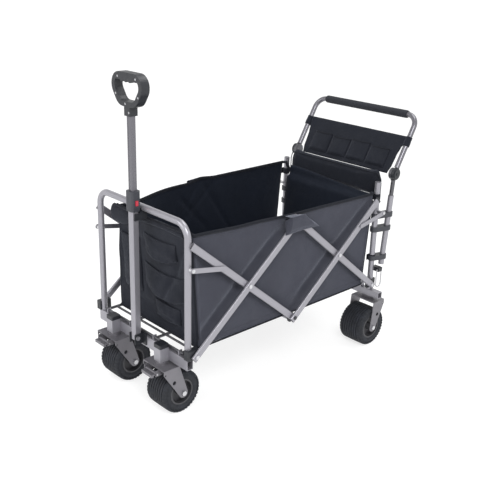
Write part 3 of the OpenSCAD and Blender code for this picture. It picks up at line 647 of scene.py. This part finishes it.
bag_pieces.append(panel_pocket("bag_pocket_upper", -20.0, 150.0, 577.0, 520.0, 26.0, 20.0, 8.0))
bag_pieces.append(panel_pocket("bag_pocket_lower", -30.0, 185.0, 470.0, 388.0, 30.0, 20.0, 16.0))
bag_pieces.append(panel_pocket("bag_pocket_side", -150.0, -52.0, 545.0, 350.0, 10.0, 12.0, 4.0))
bag_pieces.append(panel_pocket("bag_pocket_foot", 20.0, 150.0, 350.0, 292.0, 8.0, 10.0, 4.0))


# stitches: short raised threads in rows
def stitches(name, rows, length=3.2, radius=0.45, every=6.0):
    """Small thread pieces along paths of points, each lifted off the cloth a little."""
    stitch_points, stitch_faces = [], []
    for path in rows:
        run = [(Vector(a), Vector(b)) for a, b in zip(path, path[1:])]
        carried = 0.0
        for a, b in run:
            size = (b - a).length
            if size < 1e-6:
                continue
            step = (b - a) / size
            at = every - carried
            while at < size:
                c = a + step * at
                base = len(stitch_points)
                side = step.cross(Vector((0, 0, 1)))
                side = side.normalized() if side.length > 0.1 else Vector((1, 0, 0))
                up = side.cross(step).normalized()
                for end in (-0.5, 0.5):
                    for u, w in ((1, 0), (0, 1), (-1, 0), (0, -1)):
                        q = c + step * end * length + (side * u + up * w) * radius
                        stitch_points.append(tuple(q))
                for k in range(4):
                    n = (k + 1) % 4
                    stitch_faces.append((base + k, base + n, base + 4 + n, base + 4 + k))
                stitch_faces.append((base, base + 1, base + 2, base + 3))
                stitch_faces.append((base + 7, base + 6, base + 5, base + 4))
                at += every
            carried = (carried + size) % every
    return make(name, stitch_points, stitch_faces, thread)


stitch_rows = []
for walls in (("near",), ("front",), ("rear",)):
    stitch_rows.append([(x, y, z) for x, y, z in rim_path(1.0, walls, -7.0, 1.7)])
    stitch_rows.append([(x, y, z) for x, y, z in rim_path(0.955, walls, 0.0, 0.5)])
stitch_rows.append(rim_path(0.06, ("near",), 0.0, 0.5))
bag_pieces.append(stitches("bag_stitching", stitch_rows))

for piece in bag_pieces:
    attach(piece, "front_frame")
    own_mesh(piece)


# ---------- straps on the rear posts ----------

def strap(name, centre, ru, rw, height, turns_to):
    """Webbing round a post: a flat band with soft edges, and a short tail towards the bag."""
    path = []
    for k in range(40):
        a = 2 * math.pi * k / 40
        path.append((centre[0] + ru * math.cos(a), centre[1] + rw * math.sin(a), centre[2]))
    band = [(-0.9, -height / 2), (0.5, -height / 2 + 1.0), (0.9, 0.0), (0.5, height / 2 - 1.0),
            (-0.9, height / 2), (-0.6, 0.0)]
    points, faces = tube(path, band, closed=True)
    tail = [(centre[0] + turns_to * lerp(0.0, 16.0, k / 6), centre[1] - rw - 0.4, centre[2])
            for k in range(7)]
    more, tail_faces = tube(tail, band)
    faces = faces + [tuple(q + len(points) for q in face) for face in tail_faces]
    piece = make(name, points + more, faces, binding_cloth)
    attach(piece, "rear_frame")
    return piece


for side, side_name in ((1, "left"), (-1, "right")):
    for level, z in (("high", 588.0), ("low", 346.0)):
        strap("post_strap_%s_%s" % (level, side_name), (-452.0, 236.0 * side, z),
              12.6, 12.6, 24.0, 1.0)


# ---------- padded roll over the rear cross tube ----------

def settle(obj, voxel, pressure, cap, frames=20):
    """Inflates a closed piece as cloth, with no point moving further than cap."""
    view = bpy.context.view_layer
    for other in view.objects:
        other.select_set(False)
    view.objects.active = obj
    obj.select_set(True)
    remesh = obj.modifiers.new("remesh", "REMESH")
    remesh.mode = "VOXEL"
    remesh.voxel_size = voxel
    bpy.ops.object.modifier_apply(modifier="remesh")
    start = [v.co.copy() for v in obj.data.vertices]
    cloth = obj.modifiers.new("cloth", "CLOTH")
    cloth.settings.quality = 6
    cloth.settings.mass = 0.3
    cloth.settings.use_pressure = True
    cloth.settings.uniform_pressure_force = pressure
    cloth.settings.tension_stiffness = 15
    cloth.settings.compression_stiffness = 15
    cloth.settings.bending_stiffness = 0.5
    cloth.settings.effector_weights.gravity = 0
    for k in range(1, frames + 1):
        bpy.context.scene.frame_set(k)
    done = obj.evaluated_get(bpy.context.evaluated_depsgraph_get())
    ended = [v.co.copy() for v in done.data.vertices]
    obj.modifiers.remove(cloth)
    bpy.context.scene.frame_set(1)
    for vertex, a, b in zip(obj.data.vertices, start, ended):
        move = b - a
        if move.length > cap:
            move = move * (cap / move.length)
        vertex.co = a + move
    for face in obj.data.polygons:
        face.use_smooth = True


ROLL_X, ROLL_Z0, ROLL_Z1, ROLL_Y = (-498.2, -463.4), 574.0, 684.0, 236.5


def roll_start():
    """Folded pad: a flat front, a round top and soft ends, a little smaller than it ends."""
    mid_x, half_x = sum(ROLL_X) / 2, (ROLL_X[1] - ROLL_X[0]) / 2
    shrink = 4.0
    count, per = 61, 40
    roll_points, faces = [], []
    for i in range(count):
        y = lerp(-ROLL_Y + shrink, ROLL_Y - shrink, i / (count - 1))
        end = smooth((ROLL_Y - shrink - abs(y)) / 22.0)
        top = ROLL_Z1 - shrink - 34.0 * (1 - end) ** 1.6
        for k in range(per):
            a = 2 * math.pi * k / per
            cx, cz = math.cos(a), math.sin(a)
            px = abs(cx) ** 0.55 * math.copysign(1, cx)
            pz = abs(cz) ** 0.55 * math.copysign(1, cz)
            hx = (half_x - shrink) * (0.55 + 0.45 * end)
            mid_z, half_z = (top + ROLL_Z0 + shrink) / 2, (top - ROLL_Z0 - shrink) / 2
            roll_points.append((mid_x + hx * px, y, mid_z + half_z * pz))
    faces = grid_faces(count, per, False, True)
    faces.append(tuple(range(per)))
    faces.append(tuple((count - 1) * per + k for k in range(per)))
    return make("rear_roll_pad", roll_points, faces, roll_cloth)


roll = roll_start()
settle(roll, 0.006, 4.0, 0.006)
soft = roll.modifiers.new("subdivide", "SUBSURF")
soft.levels = soft.render_levels = 1
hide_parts("rear_roll")
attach(roll, "rear_frame")


def roll_edge(y):
    """Front face's outline of the pad: x and upper z at y."""
    end = smooth((ROLL_Y - abs(y)) / 24.0)
    return ROLL_X[1] - 2.0 - 6.0 * (1 - end), ROLL_Z1 - 14.0 - 34.0 * (1 - end) ** 1.6


edge_path = [(roll_edge(-ROLL_Y + 1.5)[0] - 3, -ROLL_Y + 3.5, lerp(590.0, 640.0, k / 8))
             for k in range(8)]
for k in range(61):
    y = lerp(-ROLL_Y + 4.0, ROLL_Y - 4.0, k / 60)
    edge_path.append((roll_edge(y)[0] - 2.0, y, roll_edge(y)[1]))
edge_path += [(roll_edge(ROLL_Y - 1.5)[0] - 3, ROLL_Y - 3.5, lerp(640.0, 590.0, k / 8))
              for k in range(1, 9)]
points, faces = tube(edge_path, ellipse(2.0, 2.0, 8))
piping = make("rear_roll_piping", points, faces, binding_cloth)
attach(piping, "rear_frame")



# ---------- organizer between the push handle's legs ----------

LEAN = math.radians(30.0)
DISC = (-528.0, 666.0)
ORG_LOW, ORG_HIGH, ORG_Y = -5.0, 149.0, 238.5


def on_handle(up, y, out):
    """Point in millimetres: up along the handle's legs from the discs, out towards the bag."""
    return (DISC[0] - math.sin(LEAN) * up + math.cos(LEAN) * out, y,
            DISC[1] + math.cos(LEAN) * up + math.sin(LEAN) * out)


def organizer_half(up):
    """Half width of the back sheet at a height: full in its sleeves, waisted below them."""
    return along([(-5.0, 217.0), (30.0, 224.0), (70.0, 226.0), (104.0, 232.0), (118.0, ORG_Y),
                  (149.0, ORG_Y)], up)


def back_sheet(up, y):
    belly = 2.0 * math.sin(math.pi * (up - ORG_LOW) / (ORG_HIGH - ORG_LOW))
    return -2.0 - belly * (1 - (y / ORG_Y) ** 2) + 0.9 * wobble(up, y, 0.0, 40.0)


def organizer_back():
    nu, nv = 91, 33
    sheet_points = []
    for i in range(nu):
        s = lerp(-1.0, 1.0, i / (nu - 1))
        for j in range(nv):
            up = lerp(ORG_LOW, ORG_HIGH, j / (nv - 1))
            y = s * organizer_half(up)
            dip = 1.5 * (1 - s * s) if j == nv - 1 else 0.0
            sheet_points.append(on_handle(up - dip, y, back_sheet(up, y)))
    return make("organizer_back", sheet_points, grid_faces(nu, nv), roll_cloth,
                thickness=2.0)


def organizer_pocket(index, y0, y1, top):
    """Patch pocket: it stands off the back sheet, and its mouth gapes a little."""
    nu, nv = 27, 23
    pocket_points = []
    for i in range(nu):
        s = i / (nu - 1)
        bow = 4 * s * (1 - s)
        for j in range(nv):
            t = j / (nv - 1)
            up = lerp(top - 3.0 * bow, 12.0, t)
            y = lerp(y0, y1, s)
            stand = 1.2 + 8.5 * bow ** 0.45 * (1 - smooth(t, 0.86, 1.0)) * lerp(1.0, 0.9, t)
            stand += 0.7 * wobble(up, y, 9.0 * index, 22.0) * bow
            pocket_points.append(on_handle(up, y, min(9.5, back_sheet(up, y) + stand)))
    return make("organizer_pocket_%d" % index, pocket_points, grid_faces(nu, nv), roll_cloth,
                thickness=1.4, offset=1.0)


organizer = organizer_back()
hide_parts("organizer")
organizer_pieces = [organizer]
POCKET_EDGES = (-196.0, -98.0, -2.0, 96.0, 194.0)
POCKET_TOPS = (92.0, 88.0, 92.0, 86.0)
for index, (y0, y1) in enumerate(zip(POCKET_EDGES, POCKET_EDGES[1:])):
    organizer_pieces.append(organizer_pocket(index + 1, y0 + 3.0, y1 - 3.0, POCKET_TOPS[index]))

# sleeves that wrap the handle's legs at the sheet's top corners
for side, side_name in ((1, "left"), (-1, "right")):
    nu, nv = 13, 29
    sleeve_points = []
    for i in range(nu):
        up = lerp(112.0, 148.5, i / (nu - 1))
        flare = 1.0 + 0.05 * math.sin(up / 6.0)
        for j in range(nv):
            a = 2 * math.pi * j / (nv - 1)
            r = 11.4 * flare + 0.5 * wobble(up, a * 12.0, side, 9.0)
            sleeve_points.append(on_handle(up, side * (250.0 - r * math.cos(a)), r * math.sin(a)))
    sleeve = make("organizer_sleeve_" + side_name, sleeve_points, grid_faces(nu, nv), roll_cloth,
                  thickness=1.2, offset=1.0)
    organizer_pieces.append(sleeve)

hem_path = [on_handle(ORG_HIGH - 1.0, lerp(-ORG_Y, ORG_Y, k / 60),
                      back_sheet(ORG_HIGH, lerp(-ORG_Y, ORG_Y, k / 60)) - 0.6) for k in range(61)]
points, faces = tube(hem_path, ellipse(2.0, 3.2, 10))
organizer_pieces.append(make("organizer_hem", points, faces, binding_cloth))
for index, (y0, y1) in enumerate(zip(POCKET_EDGES, POCKET_EDGES[1:])):
    top = POCKET_TOPS[index]
    row = []
    for k in range(21):
        s = k / 20
        bow = 4 * s * (1 - s)
        up, y = top - 3.0 * bow - 1.0, lerp(y0 + 3.0, y1 - 3.0, s)
        row.append(on_handle(up, y, min(9.5, back_sheet(up, y) + 1.2 + 8.5 * bow ** 0.45) + 1.2))
    points, faces = tube(row, ellipse(1.3, 3.4, 8))
    organizer_pieces.append(make("organizer_mouth_%d" % (index + 1), points, faces, binding_cloth))
pocket_heights = [lerp(12.0, 90.0, k / 20) for k in range(21)]
seams = [[on_handle(up, y, back_sheet(up, y) + 1.6) for up in pocket_heights] for y in POCKET_EDGES]
hem_up = ORG_HIGH - 9.0
seams.append([on_handle(hem_up, y, back_sheet(hem_up, y) + 0.5)
              for y in (lerp(-230.0, 230.0, k / 50) for k in range(51))])
organizer_pieces.append(stitches("organizer_stitching", seams))
for piece in organizer_pieces:
    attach(piece, "push_handle")


# ---------- foam grip on the push bar ----------

def foam_sleeve():
    half_y, foam_r = 203.0, 15.0
    foam_points = []
    nu, nv = 85, 32
    for i in range(nu):
        y = lerp(-half_y, half_y, i / (nu - 1))
        inset = half_y - abs(y)
        r = foam_r - 1.6 * (1 - smooth(inset, -0.1, 3.0)) + 0.25 * wobble(y, 0.0, 5.0, 18.0)
        for j in range(nv):
            a = 2 * math.pi * j / nv
            foam_points.append(on_handle(235.0 + r * math.cos(a), y, r * math.sin(a)))
    inner = len(foam_points)
    faces = grid_faces(nu, nv, False, True)
    for i in (0, nu - 1):
        y = -half_y if i == 0 else half_y
        for j in range(nv):
            a = 2 * math.pi * j / nv
            foam_points.append(on_handle(235.0 + 10.1 * math.cos(a), y, 10.1 * math.sin(a)))
        base = inner if i == 0 else inner + nv
        for j in range(nv):
            k = (j + 1) % nv
            faces.append((i * nv + j, i * nv + k, base + k, base + j))
    for j in range(nv):
        k = (j + 1) % nv
        faces.append((inner + j, inner + k, inner + nv + k, inner + nv + j))
    return make("push_foam_grip", foam_points, faces, finish_of["foam"])


foam_piece = foam_sleeve()
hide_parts("foam_grip")
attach(foam_piece, "push_handle")


# ---------- tyres ----------

TYRE_R, RIM_R = 75.0, 45.2
GROOVES = (-33.0, -22.0, -11.0, 0.0, 11.0, 22.0, 33.0)


def tyre_profile():
    """(radius, width, kind) pairs round the section: tread grooves, shoulders, side walls."""
    out = []
    for k in range(9):
        t = k / 8
        bulge = 3.6 * math.sin(math.pi * min(1.0, t * 1.15))
        out.append((lerp(RIM_R, 66.0, t), -47.0 - bulge, "wall"))
    for k in range(1, 6):
        a = math.radians(90 * k / 6)
        out.append((66.0 + 8.6 * math.sin(a), -40.6 - 10.0 * math.cos(a), "shoulder"))
    edges = []
    for g in GROOVES:
        edges += [(g - 1.9, 0.0), (g - 1.3, 3.2), (g + 1.3, 3.2), (g + 1.9, 0.0)]
    for w, depth in edges:
        crown = 0.35 * (w / 40.0) ** 2
        out.append((TYRE_R - 0.05 - crown - depth, w, "groove" if depth else "rib"))
    mirror = [(r, -w, kind) for r, w, kind in reversed(out[:14])]
    return out + mirror


def tyre(name, x, y, body, node):
    profile = tyre_profile()
    around, m = 216, len(profile)
    tyre_points = []
    for i in range(around):
        a = 2 * math.pi * i / around
        notch = 1.0 if i % 6 in (0, 1) else 0.0
        sipe = 1.0 if i % 3 == 0 else 0.0
        for r, w, kind in profile:
            if kind == "shoulder":
                r, w = r - 1.8 * notch, w - math.copysign(1.2 * notch, w)
            if kind == "rib":
                r -= 0.7 * sipe
            if kind == "wall" and r > 58.0:
                w -= math.copysign(1.0 * notch * smooth(r, 57.0, 62.0), w)
            tyre_points.append((x + r * math.sin(a), y + w, TYRE_R + r * math.cos(a)))
    faces = grid_faces(around, m, True, True)
    piece = make(name, tyre_points, faces, finish_of["tyre"])
    piece.data.set_sharp_from_angle(angle=math.radians(50))
    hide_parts(node)
    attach(piece, body)


for side, side_name in ((1, "left"), (-1, "right")):
    tyre("tyre_front_" + side_name, 434.0, 136.0 * side, "caster_wheel_" + side_name,
         "caster_tyre_" + side_name)
    tyre("tyre_rear_" + side_name, -424.0, 233.0 * side, "rear_wheel_" + side_name,
         "rear_tyre_" + side_name)


# ---------- camera, floor and light ----------

AZIMUTH, ELEVATION, ROLL = math.radians(137.3), math.radians(19.7), math.radians(1.31)
DISTANCE = 2.81
LOOK_AT = Vector((0.0935, 0.0, 0.4879))
FOCAL_PX, IMAGE, SHIFT_PX = 783.2, 492.0, (8.5, -13.3)

back = Vector((math.sin(AZIMUTH) * math.cos(ELEVATION),
               -math.cos(AZIMUTH) * math.cos(ELEVATION), math.sin(ELEVATION)))
camera = bpy.data.objects.new("camera", bpy.data.cameras.new("camera"))
bpy.context.scene.collection.objects.link(camera)
camera.data.sensor_width = 36.0
camera.data.lens = FOCAL_PX / IMAGE * 36.0
camera.data.shift_x = SHIFT_PX[0] / IMAGE
camera.data.shift_y = SHIFT_PX[1] / IMAGE
turn = back.to_track_quat("Z", "Y").to_matrix() @ Matrix.Rotation(ROLL, 3, "Z")
camera.matrix_world = Matrix.Translation(LOOK_AT + back * DISTANCE) @ turn.to_4x4()
bpy.context.scene.camera = camera

floor_mesh = bpy.data.meshes.new("floor")
SWEEP = [(0.0001, 0.0), (3.0, 0.0), (6.0, 0.0), (7.0, 0.12), (7.8, 0.5), (8.3, 1.2), (8.5, 2.2),
         (8.5, 6.0)]     # radius and height of the floor, and of the backdrop that it curves up to
sweep_points = [(r * math.cos(math.radians(a)), r * math.sin(math.radians(a)), z)
                for a in range(0, 360, 6) for r, z in SWEEP]
floor_mesh.from_pydata(sweep_points, [], grid_faces(60, len(SWEEP), True))
for face in floor_mesh.polygons:
    face.use_smooth = True
floor = bpy.data.objects.new("floor", floor_mesh)
bpy.context.scene.collection.objects.link(floor)
floor_shade = Shader("floor", (0.4, 0.4, 0.4), 0.9, specular=0.0)
floor_shade.set("Emission Color", (1, 1, 1, 1))
floor_shade.set("Emission Strength", 0.72)
paint(floor, floor_shade.material)


def area_light(name, place, aim, size, power):
    data = bpy.data.lights.new(name, "AREA")
    data.shape = "DISK"
    data.size = size
    data.energy = power
    light = bpy.data.objects.new(name, data)
    light.location = place
    light.rotation_euler = (Vector(place) - Vector(aim)).to_track_quat("Z", "Y").to_euler()
    bpy.context.scene.collection.objects.link(light)


area_light("key", (1.4, 2.4, 2.6), (0, 0, 0.4), 1.6, 66)
area_light("side", (3.0, -0.8, 2.0), (0, 0, 0.4), 2.0, 30)
area_light("top", (-0.9, 0.2, 3.4), (0, 0, 0.4), 1.6, 42)
world = bpy.data.worlds.new("studio")
world.use_nodes = True
world.node_tree.nodes["Background"].inputs[0].default_value = (1, 1, 1, 1)
world.node_tree.nodes["Background"].inputs[1].default_value = 0.55
bpy.context.scene.world = world
bpy.context.scene.view_settings.view_transform = "Standard"
